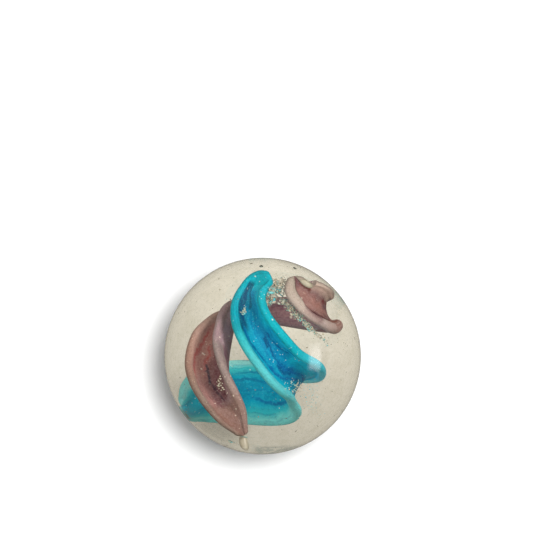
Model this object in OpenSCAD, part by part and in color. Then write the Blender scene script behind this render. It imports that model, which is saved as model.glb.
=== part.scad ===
// Glass marble: a clear ball with two coloured ribbons that turn about one leaning line inside it.
// Each ribbon is a channel that opens outward, with a thin floor between two rounded rims.
// It ends in a narrow tip at both ends. The ribbons are fused into the glass and never touch each other.
// Millimetres. The origin is the centre of the ball, +Z is the side shown to the viewer, +Y is up there.

/* [Ball] */
// Diameter of the clear ball
ball_d = 16; // [15:0.5:25]

/* [Twist] */
// Lean of the twist's line from +Y towards +X, in degrees
twist_lean = 27; // [0:1:60]
// Length of the rounded tip at each end of a ribbon
tip_length = 0.35; // [0.1:0.05:0.6]

/* [Turquoise ribbon] */
// Clear glass between the upper end and the ball's surface, along the twist's line
turquoise_cover = 2.8; // [2.4:0.1:4]
// Distance of the channel's floor from the twist's line
turquoise_reach = 2.6; // [2.2:0.1:3]
// Width of the channel
turquoise_width = 2.6; // [1.6:0.1:2.8]
// Depth of the channel
turquoise_depth = 1.0; // [0.6:0.1:1.2]
// Thickness of the channel's floor
turquoise_floor = 0.35; // [0.2:0.05:0.6]
// Thickness of the rounded rims
turquoise_rim = 0.6; // [0.4:0.02:0.7]

/* [Mauve ribbon] */
// Clear glass between the upper end and the ball's surface, along the twist's line
mauve_cover = 1.8; // [1.8:0.1:3]
// Distance of the channel's floor from the twist's line
mauve_reach = 2.1; // [1.8:0.1:2.4]
// Width of the channel
mauve_width = 2.6; // [1.6:0.1:2.8]
// Depth of the channel
mauve_depth = 1.6; // [0.8:0.1:1.8]
// Thickness of the channel's floor
mauve_floor = 0.35; // [0.2:0.05:0.6]
// Thickness of the rounded rims
mauve_rim = 0.6; // [0.4:0.02:0.7]

/* [Bubbles] */
// Length of the long bubble
bubble_length = 1.1; // [0.4:0.05:1.2]
// Thickness of the long bubble
bubble_d = 0.72; // [0.3:0.02:0.8]
// Clear glass between the long bubble and the ball's surface
bubble_cover = 0.4; // [0.3:0.1:0.6]
// Diameter of the small round bubbles
seed_d = 0.3; // [0.1:0.05:0.5]
// Clear glass between a small bubble and the ball's surface
seed_cover = 0.5; // [0.2:0.1:1]

/* [Hidden] */

// Fineness of the ball and of the ribbons
BALL_SIDES = 96;
STEPS = 3;
CHANNEL_SIDES = 8;
RIM_ANGLES = [45, 90, 135];
TIP_ANGLES = [60, 30];
NUDGE = 0.01;

// Columns of a station on a ribbon. The turn is in degrees from the viewer's side towards +X.
// Rise, reach, width, depth and rim are shares of the ribbon's own sizes. Curl is how far the channel
// bends round at each rim and roll is how far it is turned about its floor, in degrees.
TURN_INDEX = 0;
RISE_INDEX = 1;
REACH_INDEX = 2;
WIDTH_INDEX = 3;
DEPTH_INDEX = 4;
CURL_INDEX = 5;
RIM_INDEX = 6;
ROLL_INDEX = 7;

// From the tail behind the left side, round the right side, to the broad end at the upper left
TURQUOISE_STATIONS = [
    [236, -0.82, 1.10, 0.25, 0.30, 75, 0.75, 0],
    [224, -0.71, 1.05, 0.50, 0.60, 75, 0.90, 0],
    [205, -0.51, 1.00, 0.68, 0.90, 80, 1.00, 0],
    [180, -0.34, 1.00, 0.80, 0.90, 80, 1.00, 0],
    [150, -0.23, 0.98, 0.78, 0.90, 85, 1.00, 2],
    [120, -0.16, 0.94, 0.80, 0.90, 95, 1.15, 8],
    [90, -0.12, 0.92, 0.88, 0.85, 110, 1.35, 14],
    [60, -0.08, 0.94, 0.94, 0.95, 100, 1.20, 10],
    [30, 0.01, 0.94, 0.98, 1.00, 90, 1.00, 2],
    [0, 0.15, 0.95, 0.95, 1.00, 85, 1.00, 0],
    [-25, 0.33, 0.95, 0.92, 1.00, 85, 1.00, 0],
    [-42, 0.53, 0.97, 0.90, 0.90, 80, 1.00, 0],
    [-50, 0.71, 1.02, 0.82, 0.60, 75, 0.95, 0],
    [-51, 0.86, 1.08, 0.66, 0.30, 75, 0.90, 0],
    [-48, 0.99, 1.12, 0.38, 0.15, 75, 0.75, 0]
];

// From the leaf-shaped end at the lower left, round the left side and the back, to the upper right
MAUVE_STATIONS = [
    [20, -0.88, 1.40, 0.30, 0.10, 75, 0.75, 0],
    [1, -0.77, 1.33, 0.72, 0.25, 75, 0.90, 2],
    [-17, -0.65, 1.20, 0.90, 0.60, 75, 1.00, 4],
    [-40, -0.49, 1.04, 0.98, 0.90, 85, 1.00, 2],
    [-62, -0.32, 0.94, 1.02, 1.00, 90, 1.00, -3],
    [-80, -0.17, 0.94, 0.92, 1.00, 90, 1.00, -13],
    [-96, -0.03, 1.00, 0.74, 0.88, 90, 1.00, -24],
    [-113, 0.08, 1.08, 0.48, 0.62, 85, 1.00, -28],
    [-133, 0.16, 1.18, 0.34, 0.42, 80, 1.00, -28],
    [-155, 0.23, 1.24, 0.31, 0.32, 75, 1.00, -28],
    [-180, 0.30, 1.26, 0.34, 0.32, 75, 1.00, -28],
    [-210, 0.41, 1.14, 0.52, 0.45, 75, 1.00, -28],
    [-240, 0.56, 0.97, 0.66, 0.64, 85, 1.00, -29],
    [-268, 0.64, 0.82, 0.88, 0.85, 105, 1.05, -28],
    [-295, 0.70, 0.80, 1.04, 0.88, 100, 1.05, -26],
    [-320, 0.76, 0.83, 1.14, 0.82, 90, 1.10, -23],
    [-342, 0.80, 0.88, 1.00, 0.60, 80, 1.30, -24],
    [-358, 0.86, 0.96, 0.72, 0.32, 75, 1.50, -25],
    [-370, 0.95, 1.02, 0.32, 0.10, 75, 1.10, -25]
];

// Where the bubbles lie, as the turn about +Z from +X and the height above the XY plane, in degrees
BUBBLE_PLACE = [59, 26];
BUBBLE_SIDES = 24;
SEED_SIDES = 16;
SEED_PLACES = [[91, 20], [70, 14], [249, 20], [257, 28]];

function unit(v) = v / norm(v);

// Value at share t of the way from b to c on a smooth curve through a, b, c and d
function blend(a, b, c, d, t) =
    (2 * b + (c - a) * t + (2 * a - 5 * b + 4 * c - d) * pow(t, 2) + (3 * b - a - 3 * c + d) * pow(t, 3)) / 2;

// Station at place s along the rows, where a whole number is a row
function station(rows, s) =
    let (
        i = max(0, min(floor(s), len(rows) - 2)),
        b = rows[i],
        c = rows[i + 1],
        a = i > 0 ? rows[i - 1] : 2 * b - c,
        d = i < len(rows) - 2 ? rows[i + 2] : 2 * c - b
    )
    blend(a, b, c, d, s - i);

// Middle of the channel's floor. The twist's line is +Z here and -Y is the viewer's side.
function floor_point(row, rise, reach) = [
    reach * row[REACH_INDEX] * sin(row[TURN_INDEX]),
    -reach * row[REACH_INDEX] * cos(row[TURN_INDEX]),
    rise * row[RISE_INDEX]
];

// Point of the channel's outline at share u across it, on the side that hand gives: 1 inside, -1 outside
function wall_point(u, hand, width, depth, bottom, rim, curl) =
    let (
        bend = u * curl,
        span = width / 2 / sin(min(curl, 90)),
        lift = depth / (1 - cos(curl)),
        along = unit([span * cos(bend), lift * sin(bend)]),
        half = (bottom + (rim - bottom) * pow(u, 6)) / 2
    )
    [span * sin(bend), lift * (1 - cos(bend))] + hand * half * [-along[1], along[0]];

// Points round the rim at side end, which is 1 or -1
function rim_points(end, width, depth, rim, curl) =
    let (
        inside = wall_point(end, 1, width, depth, rim, rim, curl),
        outside = wall_point(end, -1, width, depth, rim, rim, curl),
        middle = (inside + outside) / 2,
        across = (inside - outside) / 2,
        ahead = end * [across[1], -across[0]]
    )
    [for (angle = RIM_ANGLES) middle + end * across * cos(angle) + ahead * sin(angle)];

// Closed outline of the channel: its inside, one rim, its outside, the other rim
function channel(width, depth, bottom, rim, curl) = [
    for (k = [0 : CHANNEL_SIDES]) wall_point(2 * k / CHANNEL_SIDES - 1, 1, width, depth, bottom, rim, curl),
    each rim_points(1, width, depth, rim, curl),
    for (k = [CHANNEL_SIDES : -1 : 0]) wall_point(2 * k / CHANNEL_SIDES - 1, -1, width, depth, bottom, rim, curl),
    each rim_points(-1, width, depth, rim, curl)
];

// The channel's outline set across the path at place s, shrunk by swell and moved on by ahead
function ring(rows, s, swell, ahead, rise, reach, width, depth, bottom, rim) =
    let (
        row = station(rows, s),
        here = floor_point(row, rise, reach),
        before = floor_point(station(rows, s - NUDGE), rise, reach),
        after = floor_point(station(rows, s + NUDGE), rise, reach),
        travel = unit(after - before),
        radial = [sin(row[TURN_INDEX]), -cos(row[TURN_INDEX]), 0],
        outward = unit(radial - travel * (radial * travel)),
        sideways = cross(travel, outward),
        across = sideways * cos(row[ROLL_INDEX]) + outward * sin(row[ROLL_INDEX]),
        up = outward * cos(row[ROLL_INDEX]) - sideways * sin(row[ROLL_INDEX]),
        dip = depth * row[DEPTH_INDEX],
        heart = [0, dip / 2],
        outline = channel(width * row[WIDTH_INDEX], dip, bottom, rim * row[RIM_INDEX], row[CURL_INDEX])
    )
    [
        for (q = outline)
            let (p = heart + (q - heart) * swell)
            here + travel * ahead + across * p[0] + up * p[1]
    ];

// Ribbon: rings along the path, closed at both ends by a rounded tip that runs to a point
module ribbon(rows, rise, reach, width, depth, bottom, rim) {
    last = len(rows) - 1;
    rings = [
        for (a = TIP_ANGLES)
            ring(rows, 0, cos(a), -tip_length * sin(a), rise, reach, width, depth, bottom, rim),
        for (k = [0 : last * STEPS])
            ring(rows, k / STEPS, 1, 0, rise, reach, width, depth, bottom, rim),
        for (k = [len(TIP_ANGLES) - 1 : -1 : 0])
            ring(rows, last, cos(TIP_ANGLES[k]), tip_length * sin(TIP_ANGLES[k]),
                rise, reach, width, depth, bottom, rim)
    ];
    tail = ring(rows, 0, 0, -tip_length, rise, reach, width, depth, bottom, rim)[0];
    nose = ring(rows, last, 0, tip_length, rise, reach, width, depth, bottom, rim)[0];
    sides = len(rings[0]);
    total = len(rings) * sides;
    points = [for (outline = rings) each outline, tail, nose];
    skin = [
        for (i = [0 : len(rings) - 2])
            for (j = [0 : sides - 1])
                let (
                    a = i * sides + j,
                    b = i * sides + (j + 1) % sides,
                    c = b + sides,
                    d = a + sides
                )
                each [[a, c, b], [a, d, c]]
    ];
    start = [for (j = [0 : sides - 1]) [total, j, (j + 1) % sides]];
    finish = [
        for (j = [0 : sides - 1])
            [total + 1, total - sides + (j + 1) % sides, total - sides + j]
    ];
    polyhedron(points = points, faces = concat(start, skin, finish), convexity = 8);
}

module in_ball() {
    rotate([0, 0, -twist_lean])
        rotate([-90, 0, 0])
            children();
}

module turquoise_form() {
    in_ball()
        ribbon(TURQUOISE_STATIONS, ball_d / 2 - turquoise_cover, turquoise_reach,
            turquoise_width, turquoise_depth, turquoise_floor, turquoise_rim);
}

module mauve_form() {
    in_ball()
        ribbon(MAUVE_STATIONS, ball_d / 2 - mauve_cover, mauve_reach,
            mauve_width, mauve_depth, mauve_floor, mauve_rim);
}

// Moves its child to a place given as turn and height, cover below the ball's surface
module under_surface(place, cover) {
    rotate([0, 0, place[0]])
        rotate([0, -place[1], 0])
            translate([ball_d / 2 - cover, 0, 0])
                children();
}

// Long bubble: an oval turned about its own length, which lies across the line to the ball's centre
module long_bubble() {
    under_surface(BUBBLE_PLACE, bubble_cover + bubble_d / 2)
        rotate([90, 0, 0])
            rotate_extrude($fn = BUBBLE_SIDES)
                polygon([
                    for (a = [-90 : 180 / BUBBLE_SIDES : 90])
                        [bubble_d / 2 * cos(a), bubble_length / 2 * sin(a)]
                ]);
}

module small_bubbles() {
    for (place = SEED_PLACES)
        under_surface(place, seed_cover + seed_d / 2)
            sphere(d = seed_d, $fn = SEED_SIDES);
}

// Clear ball, hollow only where the ribbons and the bubbles lie
module clear_glass() {
    color("oldlace", 0.35)
        difference() {
            sphere(d = ball_d, $fn = BALL_SIDES);
            turquoise_form();
            mauve_form();
            long_bubble();
            small_bubbles();
        }
}

module turquoise_ribbon() {
    color("darkturquoise")
        turquoise_form();
}

module mauve_ribbon() {
    color("rosybrown")
        mauve_form();
}

clear_glass();
turquoise_ribbon();
mauve_ribbon();
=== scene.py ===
"""Dresses a glass marble: a clear ball with bubbles, and two streaked ribbons that twist inside it.

Metres, in the part's own frame: the origin is the ball's centre, +Z is the viewer's side, +Y is up there.
The ribbons have the sizes of the solids that they stand for, and their stations with small changes.
"""

import logging
import math
from dataclasses import dataclass, field
from enum import Enum
from typing import NamedTuple

import bmesh
import bpy
import numpy as np
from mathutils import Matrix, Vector


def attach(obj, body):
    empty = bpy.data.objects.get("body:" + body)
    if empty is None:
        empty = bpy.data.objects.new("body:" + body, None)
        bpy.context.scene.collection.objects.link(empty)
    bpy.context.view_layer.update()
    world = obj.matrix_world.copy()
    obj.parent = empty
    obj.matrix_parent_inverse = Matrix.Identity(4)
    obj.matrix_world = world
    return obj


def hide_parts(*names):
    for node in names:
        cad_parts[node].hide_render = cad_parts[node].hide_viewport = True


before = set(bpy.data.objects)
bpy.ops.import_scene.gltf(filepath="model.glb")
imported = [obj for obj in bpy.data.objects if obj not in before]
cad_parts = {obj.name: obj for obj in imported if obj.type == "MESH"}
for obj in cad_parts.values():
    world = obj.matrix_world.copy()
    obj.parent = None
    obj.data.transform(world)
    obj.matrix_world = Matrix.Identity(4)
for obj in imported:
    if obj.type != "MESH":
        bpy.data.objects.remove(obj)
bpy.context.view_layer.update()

LOG = logging.getLogger("marble")
MM = 0.001
BALL_RADIUS = 8 * MM
TWIST_LEAN = 27.0
STREAK_CORE = 0.25
STREAK_FADE = 0.7
FLECK_STRETCH = 0.9
FLECK_ROOM = 0.985
BUBBLE_MARGIN = 0.02 * MM
SIZE_SKEW = 3
FINE_DETAIL = 5.0
WHITE = (1.0, 1.0, 1.0)

Colour = tuple[float, float, float]
Row = tuple[tuple[float, Colour], ...]
Edge = tuple[float, float]
Socket = bpy.types.NodeSocket


def srgb(red: int, green: int, blue: int) -> Colour:
    """Turns a colour as seen on a screen, 0 to 255, into linear light."""
    shares = (channel / 255 for channel in (red, green, blue))
    return tuple(s / 12.92 if s <= 0.04045 else ((s + 0.055) / 1.055) ** 2.4 for s in shares)


def colour_row(*stops: tuple[float, int, int, int]) -> Row:
    """Makes a row of colours from places along it and colours as seen on a screen."""
    return tuple((place, srgb(red, green, blue)) for place, red, green, blue in stops)


class Ray(Enum):
    """Kinds of ray that the stage can tell apart, named as the Light Path node names them."""

    CAMERA = "Is Camera Ray"
    GLOSSY = "Is Glossy Ray"
    TRANSMISSION = "Is Transmission Ray"


class Side(Enum):
    """The two faces of a ribbon's channel."""

    INSIDE = 1
    OUTSIDE = 0


class Station(NamedTuple):
    """One section of a ribbon: a turn in degrees, shares of the ribbon's sizes, and two angles."""

    turn: float
    rise: float
    reach: float
    width: float
    depth: float
    curl: float
    rim: float
    roll: float


TURQUOISE_STATIONS = (
    Station(236, -0.82, 1.10, 0.25, 0.30, 75, 0.75, 0),
    Station(224, -0.71, 1.05, 0.50, 0.60, 75, 0.90, 0),
    Station(205, -0.51, 1.00, 0.68, 0.90, 80, 1.00, 0),
    Station(180, -0.34, 1.00, 0.80, 0.90, 80, 1.00, 0),
    Station(150, -0.23, 0.98, 0.78, 0.90, 85, 1.00, 2),
    Station(120, -0.13, 0.93, 0.82, 0.78, 92, 0.98, 8),
    Station(90, -0.06, 0.91, 0.93, 0.62, 95, 0.95, 14),
    Station(60, -0.01, 0.94, 0.99, 0.80, 92, 1.00, 10),
    Station(30, 0.01, 0.94, 0.98, 1.00, 90, 1.00, 2),
    Station(0, 0.15, 0.95, 0.95, 1.00, 85, 1.00, 0),
    Station(-27, 0.33, 0.95, 0.88, 0.95, 85, 1.00, 0),
    Station(-46, 0.53, 0.97, 0.82, 0.75, 80, 1.00, 0),
    Station(-54, 0.71, 1.02, 0.70, 0.36, 75, 0.95, 0),
    Station(-53, 0.83, 1.07, 0.58, 0.12, 75, 0.90, 0),
    Station(-46, 0.94, 1.11, 0.40, 0.06, 75, 0.75, 0),
)

MAUVE_STATIONS = (
    Station(20, -0.88, 1.40, 0.30, 0.10, 75, 0.75, 0),
    Station(1, -0.77, 1.33, 0.72, 0.25, 75, 0.90, 2),
    Station(-17, -0.65, 1.20, 0.90, 0.60, 75, 1.00, 4),
    Station(-40, -0.49, 1.04, 0.98, 0.90, 85, 1.00, 2),
    Station(-62, -0.32, 0.93, 0.98, 1.00, 90, 1.00, -3),
    Station(-80, -0.17, 0.93, 0.88, 1.00, 90, 1.00, -13),
    Station(-96, -0.03, 1.00, 0.74, 0.88, 90, 1.00, -24),
    Station(-113, 0.08, 1.08, 0.48, 0.62, 85, 1.00, -28),
    Station(-133, 0.16, 1.18, 0.34, 0.42, 80, 1.00, -28),
    Station(-155, 0.23, 1.24, 0.31, 0.32, 75, 1.00, -28),
    Station(-180, 0.30, 1.26, 0.34, 0.32, 75, 1.00, -28),
    Station(-210, 0.41, 1.14, 0.52, 0.45, 75, 1.00, -28),
    Station(-240, 0.56, 0.98, 0.66, 0.40, 75, 1.05, -29),
    Station(-268, 0.64, 0.89, 0.90, 0.36, 75, 1.25, -28),
    Station(-295, 0.715, 0.87, 1.10, 0.50, 80, 1.25, -26),
    Station(-320, 0.78, 0.86, 1.22, 0.68, 85, 1.10, -23),
    Station(-342, 0.82, 0.88, 1.08, 0.58, 80, 1.20, -24),
    Station(-358, 0.86, 0.96, 0.72, 0.32, 75, 1.50, -25),
    Station(-370, 0.95, 1.02, 0.32, 0.10, 75, 1.10, -25),
)


class Shader:
    """Short ways to add and join the nodes of one material or world."""

    def __init__(self, tree: bpy.types.NodeTree) -> None:
        """Starts on an empty tree.

        Args:
            tree: The node tree to fill.
        """
        self.tree = tree
        tree.nodes.clear()

    def add(self, kind: str, **settings: object) -> bpy.types.Node:
        """Adds a node.

        Args:
            kind: The node's type name.
            **settings: Properties to set on it.

        Returns:
            The new node.
        """
        node = self.tree.nodes.new(kind)
        for name, value in settings.items():
            setattr(node, name, value)
        return node

    def put(self, socket: Socket, value: object) -> None:
        """Gives an input a link when the value is an output socket, or else a plain value."""
        if isinstance(value, Socket):
            self.tree.links.new(value, socket)
        elif isinstance(value, tuple) and len(value) == 3 and socket.type == "RGBA":
            socket.default_value = (*value, 1.0)
        else:
            socket.default_value = value

    def join(self, kind: str, values: tuple | dict, **settings: object) -> Socket:
        """Adds a node and fills its inputs.

        Args:
            kind: The node's type name.
            values: Values or output sockets, in the order of the inputs, or by their names or numbers.
            **settings: Properties to set on it.

        Returns:
            The node's first output.
        """
        node = self.add(kind, **settings)
        for key, value in values.items() if isinstance(values, dict) else enumerate(values):
            self.put(node.inputs[key], value)
        return node.outputs[0]

    def split(self, vector: object) -> list[Socket]:
        """Splits a vector into its three numbers."""
        node = self.add("ShaderNodeSeparateXYZ")
        self.put(node.inputs[0], vector)
        return list(node.outputs)

    def math(self, operation: str, *values: object) -> Socket:
        """Works out one number from others, which are numbers or output sockets."""
        return self.join("ShaderNodeMath", values, operation=operation)

    def mix(self, share: object, first: object, second: object) -> Socket:
        """Mixes two colours.

        Args:
            share: How much of the second colour, 0 to 1.
            first: The colour at share 0.
            second: The colour at share 1.

        Returns:
            The mixed colour's socket.
        """
        node = self.add("ShaderNodeMix", data_type="RGBA")
        self.put(node.inputs[0], share)
        self.put(node.inputs[6], first)
        self.put(node.inputs[7], second)
        return node.outputs[2]

    def lay(self, colour: object, over: object, weight: object, share: float = 1.0) -> Socket:
        """Lays a colour over another.

        Args:
            colour: The colour below.
            over: The colour laid over it.
            weight: How much it covers from place to place, 0 to 1.
            share: How much it covers where the weight is 1.

        Returns:
            The mixed colour's socket.
        """
        if share != 1.0:
            weight = self.math("MULTIPLY", weight, share)
        return self.mix(weight, colour, over)

    def band(self, value: object, low: float, high: float) -> Socket:
        """Rises smoothly from 0 at low to 1 at high, or falls when low is above high."""
        start, end = (0.0, 1.0) if low < high else (1.0, 0.0)
        values = (value, min(low, high), max(low, high), start, end)
        return self.join("ShaderNodeMapRange", values, interpolation_type="SMOOTHSTEP")

    def ramp(self, value: object, stops: Row) -> Socket:
        """Looks a value up in a row of colours.

        Args:
            value: The place along the row, 0 to 1.
            stops: Places and their colours, in order.

        Returns:
            The colour's socket.
        """
        node = self.add("ShaderNodeValToRGB")
        self.put(node.inputs[0], value)
        points = node.color_ramp.elements
        while len(points) < len(stops):
            points.new(1.0)
        for point, (place, colour) in zip(points, stops):
            point.position = place
            point.color = (*colour, 1.0)
        return node.outputs[0]

    def slide(self, value: object, low: float, high: float, first: float, last: float) -> Socket:
        """Turns a value from low to high into one from first to last, and keeps it between them."""
        return self.join("ShaderNodeMapRange", (value, low, high, first, last))

    def vector(self, *axes: object) -> Socket:
        """Joins three numbers into one vector."""
        return self.join("ShaderNodeCombineXYZ", axes)

    def noise(self, vector: object, scale: float, detail: float = 3.0) -> Socket:
        """Gives soft noise, about 0.5 on average."""
        return self.join("ShaderNodeTexNoise", {"Vector": vector, "Scale": scale, "Detail": detail})

    def specks(self, vector: object, scale: float, size: float) -> Socket:
        """Gives small round specks, 1 at their middles and 0 between them."""
        away = self.join("ShaderNodeTexVoronoi", {"Vector": vector, "Scale": scale})
        return self.band(away, size, size / 2)

    def bump(self, strength: float, depth: float, height: object) -> Socket:
        """Gives fine relief of a depth in metres, as a surface's normal."""
        values = {"Strength": strength, "Distance": depth, "Height": height}
        return self.join("ShaderNodeBump", values)

    def glass(self, values: dict[str, object]) -> None:
        """Ends the material in one surface, with values for its inputs by name."""
        self.finish(self.join("ShaderNodeBsdfPrincipled", values))

    def finish(self, surface: Socket, kind: str = "ShaderNodeOutputMaterial") -> None:
        """Joins the result to the output of the material, or of the world."""
        self.tree.links.new(surface, self.add(kind).inputs["Surface"])


def start_material(name: str) -> tuple[bpy.types.Material, Shader]:
    """Makes an empty material, and the means to fill it."""
    material = bpy.data.materials.new(name)
    material.use_nodes = True
    return material, Shader(material.node_tree)


def add_object(name: str, data: bpy.types.ID) -> bpy.types.Object:
    """Adds an object to the scene."""
    added = bpy.data.objects.new(name, data)
    bpy.context.scene.collection.objects.link(added)
    return added


@dataclass(frozen=True)
class ClearGlass:
    """Clear glass with a warm tint. The tint is what light keeps after going in and out once.

    A faint darker band low on the ball's front is painted shade: it stands in for the dim surroundings seen
    through the lower rim. Each of its edges has an axis, where it starts and where it is full, as shares of
    the ball's radius.
    """

    name: str = "warm_clear_glass"
    slot: str = "clear_glass"
    index: float = 1.5
    tint: Colour = (0.86, 0.80, 0.65)
    cloudy: Colour = (0.755, 0.70, 0.545)
    cloud_scale: float = 4200.0
    cloud_edge: Edge = (0.4, 0.7)
    ripple: float = 0.004
    ripple_depth: float = 0.1 * MM
    ripple_scale: float = 420.0
    # painted shade: the colour of the darker band low on the ball
    rim_shade: Colour = (0.33, 0.36, 0.3)
    rim_shade_scale: float = 1800.0
    rim_shade_detail: float = 4.0
    rim_shade_cloud: Edge = (0.3, 0.55)
    rim_shade_edges: tuple[tuple[int, float, float], ...] = (
        (1, -0.88, -0.925),
        (0, -0.13, -0.03),
        (0, 0.46, 0.36),
        (2, -0.1, 0.1),
    )

    def material(self) -> bpy.types.Material:
        """Builds the material."""
        material, shader = start_material(self.name)
        place = shader.add("ShaderNodeTexCoord").outputs["Object"]
        shares = [shader.math("DIVIDE", axis, BALL_RADIUS) for axis in shader.split(place)]
        # the band low on the front is painted shade, mixed into the glass's tint
        rim_shade_mask = shader.band(shader.noise(place, self.rim_shade_scale, self.rim_shade_detail), *self.rim_shade_cloud)
        for axis, start, full in self.rim_shade_edges:
            rim_shade_mask = shader.math("MULTIPLY", rim_shade_mask, shader.band(shares[axis], start, full))
        cloud = shader.band(shader.noise(place, self.cloud_scale, FINE_DETAIL), *self.cloud_edge)
        colour = shader.mix(cloud, self.tint, self.cloudy)
        ripple = shader.noise(place, self.ripple_scale)
        shader.glass(
            {
                "Base Color": shader.mix(rim_shade_mask, colour, self.rim_shade),
                "Roughness": 0.0,
                "IOR": self.index,
                "Transmission Weight": 1.0,
                "Normal": shader.bump(self.ripple, self.ripple_depth, ripple),
            }
        )
        return material


@dataclass(frozen=True)
class BubbleFilm:
    """The silvery look of a bubble's walls, painted on a skin inside each bubble as painted reflection, and
    the colours of the flecks between them, which are their own.

    Each bubble or fleck keeps a number of its own, its tone, that says where it lies in the row of colours.
    """

    name: str = "bubble_film"
    # the pale tones on the bubbles' skins are painted reflection; flecks take their own colours from this
    # row
    tones: Row = colour_row(
        (0.0, 40, 160, 180), (0.25, 120, 195, 200), (0.4, 192, 184, 172), (0.55, 170, 165, 148),
        (0.75, 205, 200, 190), (1.0, 120, 92, 88),
    )
    deep: Colour = srgb(152, 142, 126)
    deep_scale: float = 1100.0
    deep_share: float = 0.7
    deep_edge: Edge = (0.6, 0.4)
    roughness: float = 0.4
    specular: float = 0.45

    def material(self) -> bpy.types.Material:
        """Builds the material."""
        material, shader = start_material(self.name)
        place = shader.add("ShaderNodeTexCoord").outputs["Object"]
        tone = shader.add("ShaderNodeAttribute", attribute_name="tone").outputs["Fac"]
        cloud = shader.band(shader.noise(place, self.deep_scale), *self.deep_edge)
        shader.glass(
            {
                "Base Color": shader.lay(shader.ramp(tone, self.tones), self.deep, cloud, self.deep_share),
                "Roughness": self.roughness,
                "Specular IOR Level": self.specular,
            }
        )
        return material


@dataclass(frozen=True)
class Streak:
    """A thread or patch of one colour, drawn out along a ribbon.

    It starts and ends at places along the stations, and its line goes from one share across to another,
    where -1 is the lower rim and 1 the upper rim.
    """

    start: float
    end: float
    from_share: float
    to_share: float
    half_width: float
    colour: Colour
    strength: float = 0.9
    side: Side = Side.INSIDE

    def weight(self, shader: Shader, along: object, across: object, inner: object) -> Socket:
        """Works out how strongly the streak covers the glass.

        Args:
            shader: The material's nodes.
            along: The place along the stations.
            across: The place across, with its wander.
            inner: 1 on the channel's inside and 0 on its outside.

        Returns:
            The share of the streak's colour.
        """
        middle = shader.slide(along, self.start, self.end, self.from_share, self.to_share)
        away = shader.math("ABSOLUTE", shader.math("SUBTRACT", across, middle))
        body = shader.band(away, self.half_width, self.half_width * STREAK_CORE)
        ends = shader.math("ABSOLUTE", shader.slide(along, self.start, self.end, -1.0, 1.0))
        body = shader.math("MULTIPLY", body, shader.band(ends, 1.0, STREAK_FADE))
        face = inner if self.side is Side.INSIDE else shader.math("SUBTRACT", 1.0, inner)
        body = shader.math("MULTIPLY", body, face)
        return shader.math("MULTIPLY", body, self.strength)


class SpeckLayer(NamedTuple):
    """Specks of one size: their density and size, the clouds that thin them out, and their share."""

    density: float
    size: float
    cloud_scale: float
    cloud_low: float
    cloud_high: float
    share: float


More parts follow.
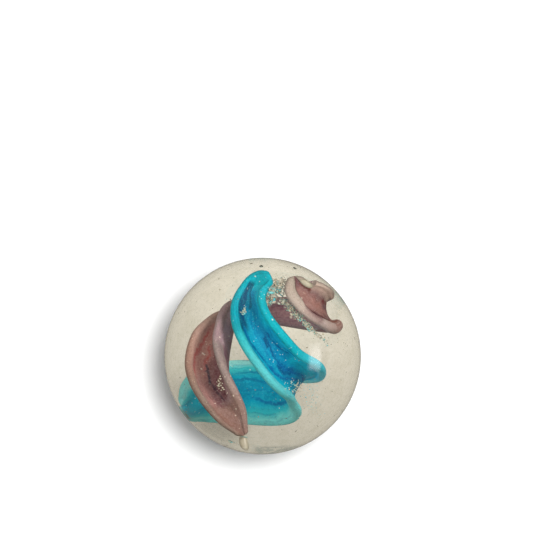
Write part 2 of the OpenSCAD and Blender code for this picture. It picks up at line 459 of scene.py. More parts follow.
@dataclass(frozen=True)
class StreakedGlass:
    """Opaque coloured glass drawn out into a ribbon, with streaks that run along it.

    The rows inside and outside go across the ribbon, from its lower rim at 0 to its upper rim at 1. The
    rows of the two rims go along it, from its first station at 0 to its last at 1.
    """

    name: str
    slot: str
    length: int
    inside: Row
    outside: Row
    lower_rim: Row
    upper_rim: Row
    streaks: tuple[Streak, ...]
    dark: Colour
    dark_share: float
    warm: Colour
    warm_share: float
    pale: Colour
    pale_share: float
    speck: Colour
    speck_scale: float
    outline_share: float = 0.3
    outline_edge: Edge = (0.9, 0.98)
    outline_face: Edge = (0.4, 0.1)
    rim_start: float = 0.8
    rim_full: float = 0.95
    face_gap: float = 7.0
    wander: float = 0.2
    wander_along: float = 0.9
    wander_scale: float = 1.6
    fibre_along: float = 0.3
    fibre_across: float = 3.2
    fibre_scale: float = 3.0
    dark_fibres: Edge = (0.53, 0.7)
    warm_fibres: Edge = (0.47, 0.3)
    grain_scale: float = 9000.0
    grain_detail: float = 2.0
    pale_grains: Edge = (0.5, 0.7)
    pale_grain_share: float = 0.2
    dark_grains: Edge = (0.5, 0.3)
    dark_grain_share: float = 0.25
    mottle_scale: float = 2600.0
    mottle_edge: Edge = (0.4, 0.75)
    speck_layers: tuple[SpeckLayer, ...] = (
        SpeckLayer(1.0, 0.16, 700.0, 0.54, 0.62, 1.0),
        SpeckLayer(2.4, 0.2, 1100.0, 0.5, 0.62, 0.7),
    )
    roughness: float = 0.45
    mottle_roughness: float = 0.2
    specular: float = 0.05
    bump: float = 0.4
    bump_depth: float = 0.1 * MM

    def material(self) -> bpy.types.Material:
        """Builds the material."""
        material, shader = start_material(self.name)
        along, across, inner = (
            shader.add("ShaderNodeAttribute", attribute_name=name).outputs["Fac"]
            for name in ("along", "across", "inner")
        )
        place = shader.add("ShaderNodeTexCoord").outputs["Object"]
        face = shader.math("MULTIPLY", inner, self.face_gap)
        slow = shader.vector(shader.math("MULTIPLY", along, self.wander_along), across, face)
        sway = shader.math("SUBTRACT", shader.noise(slow, self.wander_scale), 0.5)
        swayed = shader.math("MULTIPLY_ADD", sway, self.wander * 2, across)
        drawn = shader.math("MULTIPLY", along, self.fibre_along)
        fibre = shader.vector(drawn, shader.math("MULTIPLY", swayed, self.fibre_across), face)
        fibre = shader.noise(fibre, self.fibre_scale, FINE_DETAIL)
        share = shader.math("MULTIPLY_ADD", swayed, 0.5, 0.5)
        colour = shader.mix(inner, shader.ramp(share, self.outside), shader.ramp(share, self.inside))
        reach = shader.math("DIVIDE", along, float(self.length))
        for row, rim in ((self.lower_rim, -1), (self.upper_rim, 1)):
            edge = shader.band(across, rim * self.rim_start, rim * self.rim_full)
            colour = shader.lay(colour, shader.ramp(reach, row), edge)
        for streak in self.streaks:
            colour = shader.lay(colour, streak.colour, streak.weight(shader, along, swayed, inner))
        colour = shader.lay(colour, self.dark, shader.band(fibre, *self.dark_fibres), self.dark_share)
        colour = shader.lay(colour, self.warm, shader.band(fibre, *self.warm_fibres), self.warm_share)
        edge = shader.band(shader.math("ABSOLUTE", across), *self.outline_edge)
        edge = shader.math("MULTIPLY", edge, shader.band(inner, *self.outline_face))
        colour = shader.lay(colour, self.dark, edge, self.outline_share)
        grain = shader.noise(place, self.grain_scale, self.grain_detail)
        grains = shader.band(grain, *self.pale_grains)
        colour = shader.lay(colour, self.pale, grains, self.pale_grain_share)
        grains = shader.band(grain, *self.dark_grains)
        colour = shader.lay(colour, self.dark, grains, self.dark_grain_share)
        mottle = shader.band(shader.noise(place, self.mottle_scale, FINE_DETAIL), *self.mottle_edge)
        colour = shader.lay(colour, self.pale, mottle, self.pale_share)
        for layer in self.speck_layers:
            cloud = shader.noise(place, layer.cloud_scale)
            specks = shader.specks(place, self.speck_scale * layer.density, layer.size)
            specks = shader.math("MULTIPLY", specks, shader.band(cloud, layer.cloud_low, layer.cloud_high))
            colour = shader.lay(colour, self.speck, specks, layer.share)
        shader.glass(
            {
                "Base Color": colour,
                "Roughness": shader.math("MULTIPLY_ADD", mottle, self.mottle_roughness, self.roughness),
                "Specular IOR Level": self.specular,
                "Normal": shader.bump(self.bump, self.bump_depth, fibre),
            }
        )
        return material


@dataclass(frozen=True)
class RibbonSizes:
    """Sizes of one ribbon, in metres."""

    rise: float
    reach: float
    depth: float
    width: float = 2.6 * MM
    floor: float = 0.35 * MM
    rim: float = 0.6 * MM
    tip: float = 0.35 * MM


@dataclass
class Ribbon:
    """A channel of coloured glass that winds round the twist's line."""

    name: str
    node: str
    stations: tuple[Station, ...]
    sizes: RibbonSizes
    finish: StreakedGlass
    steps: int = 14
    across_sides: int = 28
    rim_sides: int = 6
    rim_power: int = 6
    tip_angles: tuple[int, ...] = (80, 65, 50, 35, 20)
    nudge: float = 0.01

    def station(self, place: float) -> Station:
        """Finds the section at a place along the row of stations.

        Args:
            place: A whole number is a station, and the curve is smooth between them.

        Returns:
            The section there.
        """
        rows = np.array(self.stations, float)
        i = int(min(max(math.floor(place), 0), len(rows) - 2))
        t = place - i
        b, c = rows[i], rows[i + 1]
        a = rows[i - 1] if i > 0 else 2 * b - c
        d = rows[i + 2] if i < len(rows) - 2 else 2 * c - b
        row = (2 * b + (c - a) * t + (2 * a - 5 * b + 4 * c - d) * t**2 + (3 * b - a - 3 * c + d) * t**3) / 2
        return Station(*row)

    def floor_point(self, place: float) -> np.ndarray:
        """Gives the middle of the channel's floor, where the twist's line is +Z and -Y is the viewer."""
        row = self.station(place)
        turn = math.radians(row.turn)
        reach = self.sizes.reach * row.reach
        return np.array([reach * math.sin(turn), -reach * math.cos(turn), self.sizes.rise * row.rise])

    def outline(self, row: Station) -> tuple[np.ndarray, np.ndarray, np.ndarray]:
        """Draws the channel's closed outline.

        Args:
            row: The section to draw.

        Returns:
            Points as (across, out), each point's share across from -1 to 1, and 1 for each point on the
            inside of the channel or 0 on its outside.
        """
        curl = math.radians(row.curl)
        shares = np.linspace(-1, 1, self.across_sides + 1)
        bend = shares * curl
        span = self.sizes.width * row.width / 2 / math.sin(min(curl, math.pi / 2))
        lift = self.sizes.depth * row.depth / (1 - math.cos(curl))
        middle = np.stack([span * np.sin(bend), lift * (1 - np.cos(bend))], axis=1)
        along = np.stack([span * np.cos(bend), lift * np.sin(bend)], axis=1)
        along /= np.linalg.norm(along, axis=1)[:, None]
        normal = np.stack([-along[:, 1], along[:, 0]], axis=1)
        rim = self.sizes.rim * row.rim
        half = ((self.sizes.floor + (rim - self.sizes.floor) * shares**self.rim_power) / 2)[:, None]
        turns = np.linspace(0, math.pi, self.rim_sides + 2)[1:-1, None]
        upper = middle[-1] + half[-1] * (normal[-1] * np.cos(turns) + along[-1] * np.sin(turns))
        lower = middle[0] + half[0] * (-normal[0] * np.cos(turns) - along[0] * np.sin(turns))
        points = np.vstack([middle + normal * half, upper, (middle - normal * half)[::-1], lower])
        rim_shares = np.ones(self.rim_sides)
        fade = np.linspace(1, 0, self.rim_sides + 2)[1:-1]
        share = np.concatenate([shares, rim_shares, shares[::-1], -rim_shares])
        inner = np.concatenate([np.ones(len(shares)), fade, np.zeros(len(shares)), fade[::-1]])
        return points, share, inner

    def ring(self, place: float, swell: float, ahead: float) -> tuple[np.ndarray, np.ndarray, np.ndarray]:
        """Sets the outline across the path.

        Args:
            place: Where along the stations.
            swell: How large the outline is, as a share.
            ahead: How far it is moved on along the path.

        Returns:
            The ring's points in the twist's frame, their shares across and their sides.
        """
        row = self.station(place)
        here = self.floor_point(place)
        travel = self.floor_point(place + self.nudge) - self.floor_point(place - self.nudge)
        travel /= np.linalg.norm(travel)
        turn = math.radians(row.turn)
        radial = np.array([math.sin(turn), -math.cos(turn), 0.0])
        outward = radial - travel * (radial @ travel)
        outward /= np.linalg.norm(outward)
        sideways = np.cross(travel, outward)
        roll = math.radians(row.roll)
        across = sideways * math.cos(roll) + outward * math.sin(roll)
        out = outward * math.cos(roll) - sideways * math.sin(roll)
        points, share, inner = self.outline(row)
        heart = np.array([0.0, self.sizes.depth * row.depth / 2])
        points = heart + (points - heart) * swell
        return here + travel * ahead + points[:, :1] * across + points[:, 1:] * out, share, inner

    def build(self) -> bpy.types.Object:
        """Builds the ribbon and dresses it.

        Returns:
            The ribbon's object.
        """
        last = len(self.stations) - 1
        tip = self.sizes.tip
        bends = [math.radians(angle) for angle in self.tip_angles]
        plan = [(0.0, math.cos(bend), -tip * math.sin(bend)) for bend in bends]
        plan += [(k / self.steps, 1.0, 0.0) for k in range(last * self.steps + 1)]
        plan += [(float(last), math.cos(bend), tip * math.sin(bend)) for bend in reversed(bends)]
        rings = [self.ring(*stage) for stage in plan]
        sides = len(rings[0][0])
        ends = [self.ring(0, 0, -tip)[0][:1], self.ring(last, 0, tip)[0][:1]]
        points = np.vstack([ring[0] for ring in rings] + ends)
        total = len(rings) * sides
        faces = []
        for i in range(len(rings) - 1):
            for j in range(sides):
                a, b = i * sides + j, i * sides + (j + 1) % sides
                faces.append((a, b, b + sides, a + sides))
        for j in range(sides):
            after = (j + 1) % sides
            faces.append((total, after, j))
            faces.append((total + 1, total - sides + j, total - sides + after))
        mesh = bpy.data.meshes.new(self.name)
        mesh.from_pydata([tuple(in_ball(point)) for point in points], [], faces)
        mesh.shade_smooth()
        along = np.repeat([stage[0] for stage in plan], sides)
        keep_numbers(mesh, "along", np.concatenate([along, [0.0, last]]))
        keep_numbers(mesh, "across", np.concatenate([ring[1] for ring in rings] + [np.zeros(2)]))
        keep_numbers(mesh, "inner", np.concatenate([ring[2] for ring in rings] + [np.full(2, 0.5)]))
        piece = add_object(self.name, mesh)
        piece.data.materials.append(self.finish.material())
        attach(piece, "root")
        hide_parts(self.node)
        return piece


def keep_numbers(mesh: bpy.types.Mesh, name: str, values: np.ndarray) -> None:
    """Keeps one number for each corner point of the mesh."""
    layer = mesh.attributes.new(name, "FLOAT", "POINT")
    layer.data.foreach_set("value", values.astype(np.float32))


def in_ball(point: np.ndarray) -> Vector:
    """Turns a place in the twist's frame into the part's frame."""
    lean = math.radians(TWIST_LEAN)
    right, away, up = point
    return Vector(
        (
            right * math.cos(lean) + up * math.sin(lean),
            up * math.cos(lean) - right * math.sin(lean),
            -away,
        )
    )


class Bubble(NamedTuple):
    """A hollow in the glass: its middle and half its length, width and height, as shares of the ball's
    radius, and its turn about +Z in degrees."""

    x: float
    y: float
    z: float
    half_length: float
    half_width: float
    half_height: float
    turn: float

    def place(self, shape: np.ndarray) -> np.ndarray:
        """Sets a ball of radius 1 where the bubble is, at its size."""
        turn = math.radians(self.turn)
        x, y, z = (shape * (self.half_length, self.half_width, self.half_height)).T
        turned = [x * math.cos(turn) - y * math.sin(turn), x * math.sin(turn) + y * math.cos(turn), z]
        return (np.stack(turned, axis=1) + (self.x, self.y, self.z)) * BALL_RADIUS


@dataclass(frozen=True)
class Swarm:
    """Many small bubbles and flecks of glass scattered along a line.

    Places and sizes are shares of the ball's radius. The spread is how far they stray from the line. The
    tones are the range of colours of its flecks.
    """

    start: tuple[float, float, float]
    end: tuple[float, float, float]
    spread: tuple[float, float, float]
    count: int
    smallest: float
    largest: float
    fleck_share: float = 0.0
    tones: tuple[float, float] = (0.4, 0.75)

    def bubbles(self, rng: np.random.Generator) -> list[tuple[Bubble, bool, float]]:
        """Scatters the bubbles and flecks.

        Args:
            rng: The source of chance.

        Returns:
            Those that stay inside the ball, each with whether it is a solid fleck, and its tone.
        """
        found = []
        for _ in range(self.count):
            share = rng.random()
            middle = np.array(self.start) * (1 - share) + np.array(self.end) * share
            middle = middle + rng.normal(0, 1, 3) * np.array(self.spread)
            size = self.smallest + (self.largest - self.smallest) * rng.random() ** SIZE_SKEW
            long = size * (1 + FLECK_STRETCH * rng.random())
            bubble = Bubble(*middle, long, size, size, rng.uniform(0, 180))
            is_fleck = rng.random() < self.fleck_share
            tone = rng.uniform(*self.tones)
            if np.linalg.norm(middle) + long < FLECK_ROOM:
                found.append((bubble, is_fleck, tone))
        return found


@dataclass
class GlassBall:
    """The clear ball and the bubbles in it.

    Each large bubble's film has a size, as a share of its hollow, and a tone.
    """

    name: str = "glass_ball"
    finish: ClearGlass = field(default_factory=ClearGlass)
    film: BubbleFilm = field(default_factory=BubbleFilm)
    long_bubble: Bubble = Bubble(0.419, 0.697, 0.397, 0.068, 0.045, 0.045, -30)
    round_bubbles: tuple[Bubble, ...] = (
        Bubble(-0.013, 0.862, 0.315, 0.019, 0.019, 0.019, 0),
        Bubble(0.306, 0.840, 0.222, 0.019, 0.019, 0.019, 0),
        Bubble(-0.309, -0.805, 0.314, 0.019, 0.019, 0.019, 0),
    )
    column: Bubble = Bubble(-0.168, -0.795, 0.260, 0.148, 0.044, 0.036, 90)
    cap: Bubble = Bubble(-0.160, -0.695, 0.280, 0.030, 0.012, 0.012, 0)
    swarms: tuple[Swarm, ...] = (
        # the middle of the crackled cluster
        Swarm(
            (0.03, 0.44, 0.24), (0.14, 0.60, 0.24), (0.035, 0.035, 0.04),
            340, 0.004, 0.014, 0.55, (0.0, 1.0),
        ),
        # its trail down to the right
        Swarm(
            (0.16, 0.46, 0.30), (0.40, 0.22, 0.34), (0.014, 0.014, 0.03),
            380, 0.003, 0.010, 0.4, (0.0, 0.8),
        ),
        # the end of the trail
        Swarm(
            (0.40, 0.22, 0.34), (0.54, 0.11, 0.30), (0.010, 0.010, 0.02),
            70, 0.003, 0.007, 0.5, (0.0, 0.6),
        ),
        # the fine dust round the cluster
        Swarm(
            (0.07, 0.52, 0.20), (0.22, 0.62, 0.20), (0.045, 0.045, 0.04),
            500, 0.002, 0.006, 0.6, (0.4, 1.0),
        ),
        # the dust at the lower right
        Swarm(
            (0.34, -0.26, 0.30), (0.46, -0.44, 0.30), (0.05, 0.06, 0.05),
            140, 0.0015, 0.0035, 1.0, (0.0, 0.3),
        ),
        # the turquoise ribbon's upper bubble
        Swarm(
            (-0.156, 0.40, 0.46), (-0.165, 0.37, 0.46), (0.010, 0.012, 0.02),
            16, 0.006, 0.010, 1.0, (0.1, 0.4),
        ),
        # the flakes at its lower right
        Swarm(
            (0.24, -0.22, 0.44), (0.31, -0.27, 0.42), (0.03, 0.03, 0.03),
            60, 0.003, 0.007, 1.0, (0.05, 0.5),
        ),
        # the flakes on the mauve ribbon
        Swarm(
            (-0.38, -0.21, 0.52), (-0.36, -0.28, 0.52), (0.014, 0.02, 0.03),
            24, 0.004, 0.008, 1.0, (0.4, 0.8),
        ),
        # the flakes at the bottom
        Swarm(
            (-0.28, -0.80, 0.30), (-0.30, -0.82, 0.30), (0.02, 0.01, 0.01),
            16, 0.006, 0.012, 1.0, (0.0, 0.7),
        ),
    )
    large_films: tuple[tuple[float, float], ...] = ((1.03, 0.52), (1.0, 0.58), (1.0, 0.15))
    hollow_film: float = 0.8
    seed_count: int = 800
    seed_spread: float = 0.97
    seed_room: float = 0.98
    seed_smallest: float = 0.0018
    seed_range: float = 0.005
    seed_skew: int = 5
    chance: int = 11
    detail: int = 7
    bubble_details: tuple[int, int, int] = (4, 2, 1)

    def build(self, ribbons: list[bpy.types.Object]) -> tuple[bpy.types.Object, bpy.types.Object]:
        """Builds the ball with its bubbles as hollows, and the film in them, and dresses both.

        Args:
            ribbons: The pieces inside the ball that the small bubbles and flecks keep clear of.

        Returns:
            The ball and the bubbles' film, with the flecks.
        """
        rng = np.random.default_rng(self.chance)
        fine, coarse, rough = (self.round_mesh(detail) for detail in self.bubble_details)
        scattered = [item for swarm in self.swarms for item in swarm.bubbles(rng)]
        scattered = [item for item in scattered if self.is_clear(item[0], ribbons)]
        hollows = [(bubble, fine) for bubble in (self.long_bubble, *self.round_bubbles)]
        hollows += [(bubble, coarse) for bubble, is_fleck, _ in scattered if not is_fleck]
        hollows += [(bubble, rough) for bubble in self.seeds(rng) if self.is_clear(bubble, ribbons)]
        large = (self.long_bubble, self.column, self.cap)
        films = [(bubble, fine, *look) for bubble, look in zip(large, self.large_films)]
        films += [
            (bubble, coarse, 1.0 if is_fleck else self.hollow_film, tone)
            for bubble, is_fleck, tone in scattered
        ]
        outer_points, outer_faces = self.round_mesh(self.detail)
        shells = [(outer_points * BALL_RADIUS, outer_faces)]
        shells += [(bubble.place(shape), skin[:, ::-1]) for bubble, (shape, skin) in hollows]
        ball = self.piece(self.name, shells, self.finish.material())
        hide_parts("clear_glass")
        skins = [(bubble.place(shape * swell), skin) for bubble, (shape, skin), swell, _ in films]
        film = self.piece("bubble_film", skins, self.film.material())
        tones = [np.full(len(points), tone) for (points, _), (*_, tone) in zip(skins, films)]
        keep_numbers(film.data, "tone", np.concatenate(tones))
        LOG.info("the ball has %d hollows and %d films and flecks", len(hollows), len(films))
        return ball, film

    def piece(
        self, name: str, shells: list[tuple[np.ndarray, np.ndarray]], material: bpy.types.Material
    ) -> bpy.types.Object:
        """Makes one object of the glass.

        Args:
            name: Its name.
            shells: The points and triangles of each of its shells.
            material: What it is made of.

        Returns:
            The object.
        """
        starts = np.cumsum([0] + [len(points) for points, _ in shells])
        points = np.vstack([points for points, _ in shells])
        faces = np.vstack([triangles + start for (_, triangles), start in zip(shells, starts)])
        mesh = bpy.data.meshes.new(name)
        mesh.from_pydata(points.tolist(), [], faces.tolist())
        mesh.shade_smooth()
        piece = add_object(name, mesh)
        piece.data.materials.append(material)
        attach(piece, "root")
        return piece

    def seeds(self, rng: np.random.Generator) -> list[Bubble]:
        """Scatters tiny round bubbles all through the ball."""
        found = []
        while len(found) < self.seed_count:
            middle = rng.uniform(-self.seed_spread, self.seed_spread, 3)
            size = self.seed_smallest + self.seed_range * rng.random() ** self.seed_skew
            if np.linalg.norm(middle) + size < self.seed_room:
                found.append(Bubble(*middle, size, size, size, 0))
        return found

    @staticmethod
    def is_clear(bubble: Bubble, ribbons: list[bpy.types.Object]) -> bool:
        """Tells whether a bubble keeps its distance from every ribbon."""
        middle = Vector((bubble.x, bubble.y, bubble.z)) * BALL_RADIUS
        least = BUBBLE_MARGIN + bubble.half_length * BALL_RADIUS
        for ribbon in ribbons:
            found, near, normal, _ = ribbon.closest_point_on_mesh(middle)
            away = middle - near
            if found and (away.length < least or away.dot(normal) < 0):
                return False
        return True

    @staticmethod
    def round_mesh(detail: int) -> tuple[np.ndarray, np.ndarray]:
        """Makes a ball of radius 1 from even triangles.

        Args:
            detail: How many times its triangles are divided.

        Returns:
            Points and triangles.
        """
        mesh = bpy.data.meshes.new("round")
        shape = bmesh.new()
        bmesh.ops.create_icosphere(shape, subdivisions=detail, radius=1.0)
        shape.to_mesh(mesh)
        shape.free()
        points = np.empty(len(mesh.vertices) * 3)
        mesh.vertices.foreach_get("co", points)
        corners = np.empty(len(mesh.polygons) * 3, int)
        mesh.polygons.foreach_get("vertices", corners)
        bpy.data.meshes.remove(mesh)
        points = points.reshape(-1, 3)
        return points / np.linalg.norm(points, axis=1)[:, None], corners.reshape(-1, 3)


class Lamp(NamedTuple):
    """A soft lamp: the way to it, its distance and size in metres, its power in watts and its colour."""

    name: str
    way: tuple[float, float, float]
    distance: float
    size: float
    power: float
    colour: Colour


@dataclass
class Studio:
    """The pale floor, the soft light and the camera.

    The window is seen only in reflections. Each of its edges has a measure of the way to it, and where it
    starts and is full. What is seen through the ball darkens a little toward the dim corner.
    """

    frame_width: float = 43.37 * MM
    look_at: tuple[float, float] = (0.317 * MM, 7.28 * MM)
    lens: float = 300.0
    sensor: float = 36.0
    nearest: float = 10 * MM
    floor_half: float = 0.3
    ambient: float = 0.365
    ambient_right: float = 0.3
    ambient_back: float = 0.2
    overhead: float = 0.95
    overhead_from: float = 0.7
    mirrored_low: float = 0.45
    mirrored_high: float = 0.08
    window_level: float = 5.0
    swing_least: float = 0.05
    window_edges: tuple[tuple[str, float, float], ...] = (
        ("up", 0.25, 0.36),
        ("up", 0.6, 0.5),
        ("swing", -0.32, -0.2),
        ("swing", 0.34, 0.02),
        ("right", 0.3, 0.6),
    )
    mirrored_floor: Colour = (0.20, 0.19, 0.165)
    under_level: float = 0.797
    under_slope: tuple[float, float] = (0.06, 0.19)
    dim_corner: tuple[float, float] = (-0.66, -0.75)
    dim_share: float = 0.28
    dim_edge: Edge = (0.78, 0.97)
    middle_blur: float = 0.05
    floor_lamp: Lamp = Lamp("floor_lamp", (0.15, 0.118, 1.0), 0.5, 0.15, 2.45, WHITE)
    ribbon_lamps: tuple[Lamp, ...] = (
        Lamp("ribbon_key", (0.5, 0.55, 1.0), 0.5, 0.18, 2.53, WHITE),
        Lamp("ribbon_fill", (-0.6, 0.1, 1.0), 0.5, 0.3, 1.26, WHITE),
    )

    def build(
        self, ball: bpy.types.Object, ribbons: list[bpy.types.Object], inside: list[bpy.types.Object]
    ) -> None:
        """Sets up the floor, the world, the lamps and the camera.

        Args:
            ball: The clear ball.
            ribbons: The ribbons inside it.
            inside: All the pieces inside it.
        """
        floor = self.floor()
        self.world()
        self.lamp(self.floor_lamp, [floor], [ball])
        key, fill = self.ribbon_lamps
        self.lamp(key, inside, ribbons)
        self.lamp(fill, inside, [floor])
        self.camera()

    def floor(self) -> bpy.types.Object:
        """Lays the white floor that the ball stands on."""
        half, low = self.floor_half, -BALL_RADIUS
        mesh = bpy.data.meshes.new("floor")
        corners = [(-half, -half, low), (half, -half, low), (half, half, low), (-half, half, low)]
        mesh.from_pydata(corners, [], [(0, 1, 2, 3)])
        floor = add_object("floor", mesh)
        material, shader = start_material("floor")
        rays = shader.add("ShaderNodeLightPath")
        surface = shader.join("ShaderNodeBsdfDiffuse", {"Color": WHITE})
        place = shader.split(shader.add("ShaderNodeNewGeometry").outputs["Position"])
        x, y = (shader.math("DIVIDE", axis, BALL_RADIUS) for axis in place[:2])
        away = shader.math("MULTIPLY_ADD", x, x, shader.math("MULTIPLY_ADD", y, y, self.middle_blur**2))
        away = shader.math("SQRT", away)
        level = self.under_level
        toward = 0.0
        for axis, slope, corner in zip((x, y), self.under_slope, self.dim_corner):
            way = shader.math("DIVIDE", axis, away)
            level = shader.math("MULTIPLY_ADD", way, slope, level)
            toward = shader.math("MULTIPLY_ADD", way, corner, toward)
        dim = shader.math("MULTIPLY", shader.band(toward, *self.dim_edge), self.dim_share)
        level = shader.math("SUBTRACT", level, dim)
        for ray, colour, strength in (
            (Ray.GLOSSY, self.mirrored_floor, 1.0),
            (Ray.TRANSMISSION, WHITE, level),
        ):
            glow = shader.join("ShaderNodeEmission", (colour, strength))
            surface = shader.join("ShaderNodeMixShader", (rays.outputs[ray.value], surface, glow))
        shader.finish(surface)
        mesh.materials.append(material)
        return floor

    def world(self) -> None:
        """Lights the room softly, with a window low on the right that shows only in reflections."""
        world = bpy.data.worlds.new("room")
        bpy.context.scene.world = world
        world.use_nodes = True
        shader = Shader(world.node_tree)
        rays = shader.add("ShaderNodeLightPath")
        right, back, up = shader.split(shader.add("ShaderNodeTexCoord").outputs["Generated"])
        side = shader.math("MULTIPLY_ADD", right, self.ambient_right, 1.0)
        side = shader.math("MULTIPLY_ADD", back, self.ambient_back, side)
        level = shader.math("MULTIPLY", side, self.ambient)
        high = shader.band(up, 0.0, self.overhead_from)
        seen = shader.math("MULTIPLY_ADD", high, self.overhead - 1.0, 1.0)
        rise = self.mirrored_high - self.mirrored_low
        mirrored = shader.math("MULTIPLY_ADD", high, rise, self.mirrored_low)
        swing = shader.math("DIVIDE", back, shader.math("MAXIMUM", right, self.swing_least))
        measures = {"up": up, "right": right, "swing": swing}
        pane = 1.0
        for measure, start, full in self.window_edges:
            pane = shader.math("MULTIPLY", pane, shader.band(measures[measure], start, full))
        mirrored = shader.math("MULTIPLY_ADD", pane, self.window_level, mirrored)
        for ray, value in (
            (Ray.GLOSSY, mirrored),
            (Ray.TRANSMISSION, seen),
            (Ray.CAMERA, 1.0),
        ):
            values = {0: rays.outputs[ray.value], 2: level, 3: value}
            level = shader.join("ShaderNodeMix", values, data_type="FLOAT")
        shader.finish(shader.join("ShaderNodeBackground", (WHITE, level)), "ShaderNodeOutputWorld")

    def lamp(self, lamp: Lamp, lit: list[bpy.types.Object], shading: list[bpy.types.Object]) -> None:
        """Hangs a lamp that lights only some pieces.

        Args:
            lamp: The lamp's place, size and power.
            lit: The pieces that it lights.
            shading: The pieces that cast its shadow.
        """
        data = bpy.data.lights.new(lamp.name, "AREA")
        data.shape = "DISK"
        data.size = lamp.size
        data.energy = lamp.power
        data.color = lamp.colour
        light = add_object(lamp.name, data)
        way = Vector(lamp.way).normalized()
        light.location = way * lamp.distance
        light.rotation_euler = way.to_track_quat("Z", "Y").to_euler()
        for kind, pieces in (("receiver", lit), ("blocker", shading)):
            group = bpy.data.collections.new(f"{lamp.name}_{kind}")
            for piece in pieces:
                group.objects.link(piece)
            setattr(light.light_linking, f"{kind}_collection", group)

    def camera(self) -> None:
        """Looks straight down at the ball, which lies below the middle of the picture."""
        data = bpy.data.cameras.new("camera")
        data.lens = self.lens
        data.sensor_width = self.sensor
        data.clip_start = self.nearest
        camera = add_object("camera", data)
        distance = self.frame_width * self.lens / self.sensor
        camera.location = (*self.look_at, distance)
        bpy.context.scene.camera = camera


TURQUOISE = StreakedGlass(
    name="turquoise_streaks",
    slot="turquoise_glass",
    length=len(TURQUOISE_STATIONS) - 1,
    inside=colour_row(
        (0.0, 34, 160, 178), (0.08, 10, 154, 174), (0.16, 0, 132, 162), (0.28, 0, 134, 168),
        (0.42, 0, 116, 160), (0.56, 0, 118, 168), (0.68, 0, 130, 182), (0.8, 6, 154, 198),
        (0.92, 14, 186, 214), (1.0, 20, 178, 202),
    ),
    outside=colour_row(
        (0.0, 142, 228, 228), (0.08, 112, 214, 218), (0.18, 45, 190, 208), (0.3, 0, 154, 190),
        (0.42, 0, 130, 165), (0.6, 0, 120, 152), (0.7, 10, 134, 158), (0.82, 60, 182, 190),
        (0.92, 145, 215, 216), (1.0, 178, 222, 220),
    ),
    lower_rim=colour_row(
        (0.0, 100, 205, 210), (0.35, 120, 220, 224), (0.5, 100, 200, 212), (0.62, 80, 180, 190),
        (0.68, 50, 168, 178), (0.75, 0, 158, 178), (1.0, 0, 156, 176),
    ),
    upper_rim=colour_row(
        (0.0, 125, 210, 212), (0.3, 145, 215, 215), (0.42, 70, 190, 218), (0.5, 60, 190, 214),
        (0.6, 14, 166, 186), (0.8, 10, 156, 174), (1.0, 0, 154, 172),
    ),
    streaks=(
        Streak(9.4, 12.9, 0.6, 0.15, 0.5, srgb(8, 176, 204), 0.85),
        # painted highlight: a brighter cyan band where the window's light falls on the ribbon
        Streak(5.2, 8.3, 0.62, 0.52, 0.5, srgb(0, 184, 220)),
        Streak(5.6, 8.4, -0.62, -0.66, 0.26, srgb(0, 166, 196), 0.8),
        Streak(11.5, 17.0, 0.0, 0.0, 3.0, srgb(0, 170, 190), 1.0),
        Streak(9.6, 12.6, -0.76, -0.60, 0.42, srgb(0, 54, 88), 0.95),
        Streak(10.6, 12.4, -0.25, -0.40, 0.1, srgb(0, 66, 98), 0.8),
        Streak(8.9, 9.4, -0.12, 0.0, 0.12, srgb(0, 56, 104)),
        Streak(7.4, 9.6, -0.18, 0.08, 0.07, srgb(0, 66, 122)),
        Streak(7.2, 8.3, -0.02, -0.1, 0.18, srgb(0, 72, 124), 0.85),
        Streak(5.8, 8.5, 0.14, -0.08, 0.08, srgb(0, 78, 142)),
        Streak(8.2, 9.6, 0.5, 0.16, 0.06, srgb(0, 84, 142)),
        Streak(8.4, 10.0, 1.0, 0.62, 0.06, srgb(0, 112, 152)),
        Streak(7.6, 8.8, 0.8, 0.55, 0.06, srgb(0, 104, 160)),
        Streak(8.4, 10.2, -0.46, -0.75, 0.07, srgb(0, 80, 132)),
        Streak(6.5, 8.6, -0.1, -0.45, 0.08, srgb(0, 82, 142)),
        Streak(3.0, 7.0, -0.3, -0.62, 0.08, srgb(0, 100, 158), 0.8, Side.OUTSIDE),
        Streak(2.3, 6.5, 0.3, 0.02, 0.07, srgb(0, 92, 136), 0.8, Side.OUTSIDE),
        Streak(2.6, 6.0, 0.52, 0.4, 0.05, srgb(0, 100, 140), 0.7, Side.OUTSIDE),
        Streak(-0.6, 2.0, -0.1, 0.1, 0.5, srgb(0, 176, 204), 0.75, Side.OUTSIDE),
        Streak(-0.8, 1.2, -0.55, -0.85, 0.14, srgb(120, 100, 85), 0.8, Side.OUTSIDE),
    ),
    dark=srgb(0, 84, 142),
    dark_share=0.35,
    warm=srgb(0, 166, 200),
    warm_share=0.3,
    pale=srgb(50, 182, 206),
    pale_share=0.1,
    outline_share=0.0,
    speck=srgb(205, 226, 222),
    speck_scale=1800.0,
)

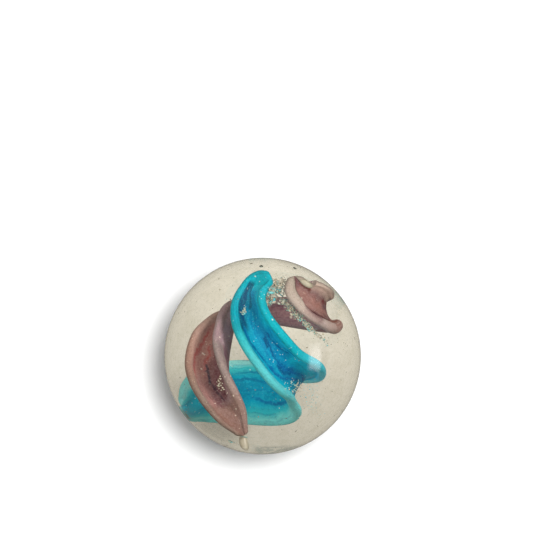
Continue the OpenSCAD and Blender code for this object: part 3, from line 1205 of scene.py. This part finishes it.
MAUVE = StreakedGlass(
    name="mauve_streaks",
    slot="mauve_glass",
    length=len(MAUVE_STATIONS) - 1,
    inside=colour_row(
        (0.0, 142, 118, 108), (0.07, 146, 96, 92), (0.15, 140, 103, 101), (0.25, 142, 100, 99),
        (0.35, 112, 76, 80), (0.5, 106, 70, 80), (0.65, 114, 86, 93), (0.75, 138, 114, 121),
        (0.88, 152, 129, 136), (1.0, 148, 131, 138),
    ),
    outside=colour_row(
        (0.0, 160, 146, 148), (0.3, 140, 118, 128), (0.45, 126, 98, 112), (0.65, 136, 104, 118),
        (0.78, 132, 92, 108), (0.88, 108, 76, 92), (0.95, 112, 86, 96), (1.0, 134, 122, 123),
    ),
    lower_rim=colour_row(
        (0.0, 140, 122, 113), (0.12, 128, 113, 106), (0.18, 138, 110, 100), (0.28, 148, 118, 108),
        (0.36, 168, 138, 130), (0.6, 160, 132, 128), (0.7, 190, 160, 160), (0.8, 184, 168, 168),
        (0.88, 172, 160, 156), (1.0, 164, 154, 146),
    ),
    upper_rim=colour_row(
        (0.0, 140, 118, 116), (0.12, 140, 126, 126), (0.25, 138, 126, 129), (0.38, 132, 116, 120),
        (0.65, 158, 140, 140), (0.75, 200, 176, 170), (0.88, 172, 160, 154), (1.0, 158, 148, 140),
    ),
    streaks=(
        Streak(-2.0, 2.3, 0.0, 0.0, 3.0, srgb(120, 90, 82), 0.85),
        Streak(-1.0, 2.6, 0.85, 0.8, 0.3, srgb(150, 122, 118), 0.7),
        Streak(3.3, 7.6, -0.72, -0.66, 0.36, srgb(172, 122, 116), 0.75),
        Streak(3.3, 6.6, -0.87, -0.78, 0.07, srgb(158, 78, 74)),
        Streak(4.0, 5.8, -0.47, -0.56, 0.07, srgb(160, 82, 80)),
        # painted shadow: a dark line down the channel's inside, where the rim beside it shades it
        Streak(2.2, 3.8, 0.3, 0.0, 0.2, srgb(84, 44, 54)),
        Streak(3.2, 4.6, -0.3, -0.48, 0.07, srgb(54, 42, 58), 1.0),
        Streak(2.1, 3.5, 0.18, -0.32, 0.08, srgb(62, 34, 50), 1.0),
        Streak(1.2, 3.4, -0.94, -0.9, 0.05, srgb(80, 70, 66)),
        Streak(11.9, 17.6, 0.8, 0.72, 0.75, srgb(214, 188, 178)),
        Streak(13.6, 17.4, -0.2, -0.2, 0.4, srgb(156, 116, 112), 0.7),
        Streak(14.4, 16.1, -1.0, -0.75, 0.4, srgb(104, 58, 66), 0.9),
        Streak(12.5, 15.3, -0.52, -0.62, 0.2, srgb(72, 18, 28), 1.0),
        Streak(12.6, 15.4, -0.22, -0.12, 0.14, srgb(156, 110, 106), 0.7),
        Streak(12.3, 14.3, 0.24, 0.08, 0.12, srgb(100, 22, 36), 1.0),
        Streak(15.5, 17.8, 0.15, 0.2, 0.14, srgb(102, 56, 54), 0.95),
        Streak(11.6, 13.3, -0.8, -0.8, 0.36, srgb(124, 58, 42), 0.9),
        Streak(2.4, 4.4, 0.72, 0.72, 0.2, srgb(84, 44, 66), 0.85, Side.OUTSIDE),
        Streak(4.5, 7.6, 0.78, 0.78, 0.4, srgb(180, 150, 166), 0.85, Side.OUTSIDE),
        Streak(8.0, 12.4, 0.15, 0.15, 0.8, srgb(156, 118, 126), 0.6, Side.OUTSIDE),
        Streak(8.5, 12.0, -0.75, -0.75, 0.3, srgb(112, 50, 58), 0.8, Side.OUTSIDE),
    ),
    dark=srgb(80, 42, 52),
    dark_share=0.28,
    warm=srgb(150, 104, 100),
    warm_share=0.25,
    pale=srgb(176, 156, 152),
    pale_share=0.16,
    speck=srgb(212, 198, 188),
    speck_scale=1800.0,
)

TURQUOISE_SIZES = RibbonSizes(rise=5.2 * MM, reach=2.6 * MM, depth=1.0 * MM)
MAUVE_SIZES = RibbonSizes(rise=6.2 * MM, reach=2.1 * MM, depth=1.6 * MM)


def main() -> None:
    """Builds the marble and its studio in order."""
    logging.basicConfig(level=logging.INFO, format="%(name)s: %(message)s")
    ribbons = [
        Ribbon(
            "turquoise_swirl", "turquoise_ribbon", TURQUOISE_STATIONS, TURQUOISE_SIZES, TURQUOISE
        ).build(),
        Ribbon("mauve_swirl", "mauve_ribbon", MAUVE_STATIONS, MAUVE_SIZES, MAUVE).build(),
    ]
    for ribbon in ribbons:
        LOG.info("%s has %d faces", ribbon.name, len(ribbon.data.polygons))
    bpy.context.view_layer.update()
    ball, film = GlassBall().build(ribbons)
    for piece in (ball, film):
        LOG.info("%s has %d faces", piece.name, len(piece.data.polygons))
    Studio().build(ball, ribbons, [*ribbons, film])
    bpy.context.scene.view_settings.view_transform = "Standard"
    LOG.info("the studio is set")


if __name__ == "__main__":
    main()
